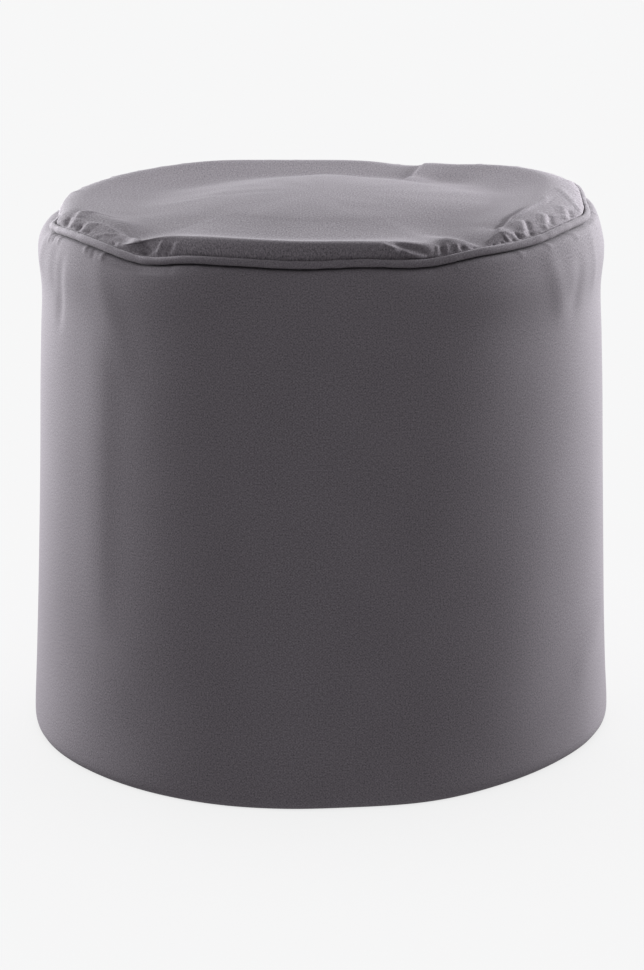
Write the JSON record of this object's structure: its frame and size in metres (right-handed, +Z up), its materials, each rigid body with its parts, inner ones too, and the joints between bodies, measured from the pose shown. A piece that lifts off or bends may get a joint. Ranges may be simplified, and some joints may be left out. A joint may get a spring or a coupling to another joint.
{
  "type": "pouf",
  "caption": "Round bead-filled pouf in plain woven cloth, with a slack dished top and a corded piping in its upper seam.",
  "frame": {"origin": "on the floor under the middle of the pouf", "axes": "+Z up out of the seat, -Y towards the side that faces the picture's camera"},
  "size_m": [0.5, 0.4985, 0.4635],
  "materials": {
    "woven_cloth": "matt plain weave",
    "piping_cloth": "matt plain weave cut on the bias"
  },
  "bodies": {
    "root": {"top_panel": "woven_cloth", "side_panel": "woven_cloth", "piping": "piping_cloth", "base_panel": "woven_cloth"}
  },
  "joints": []
}
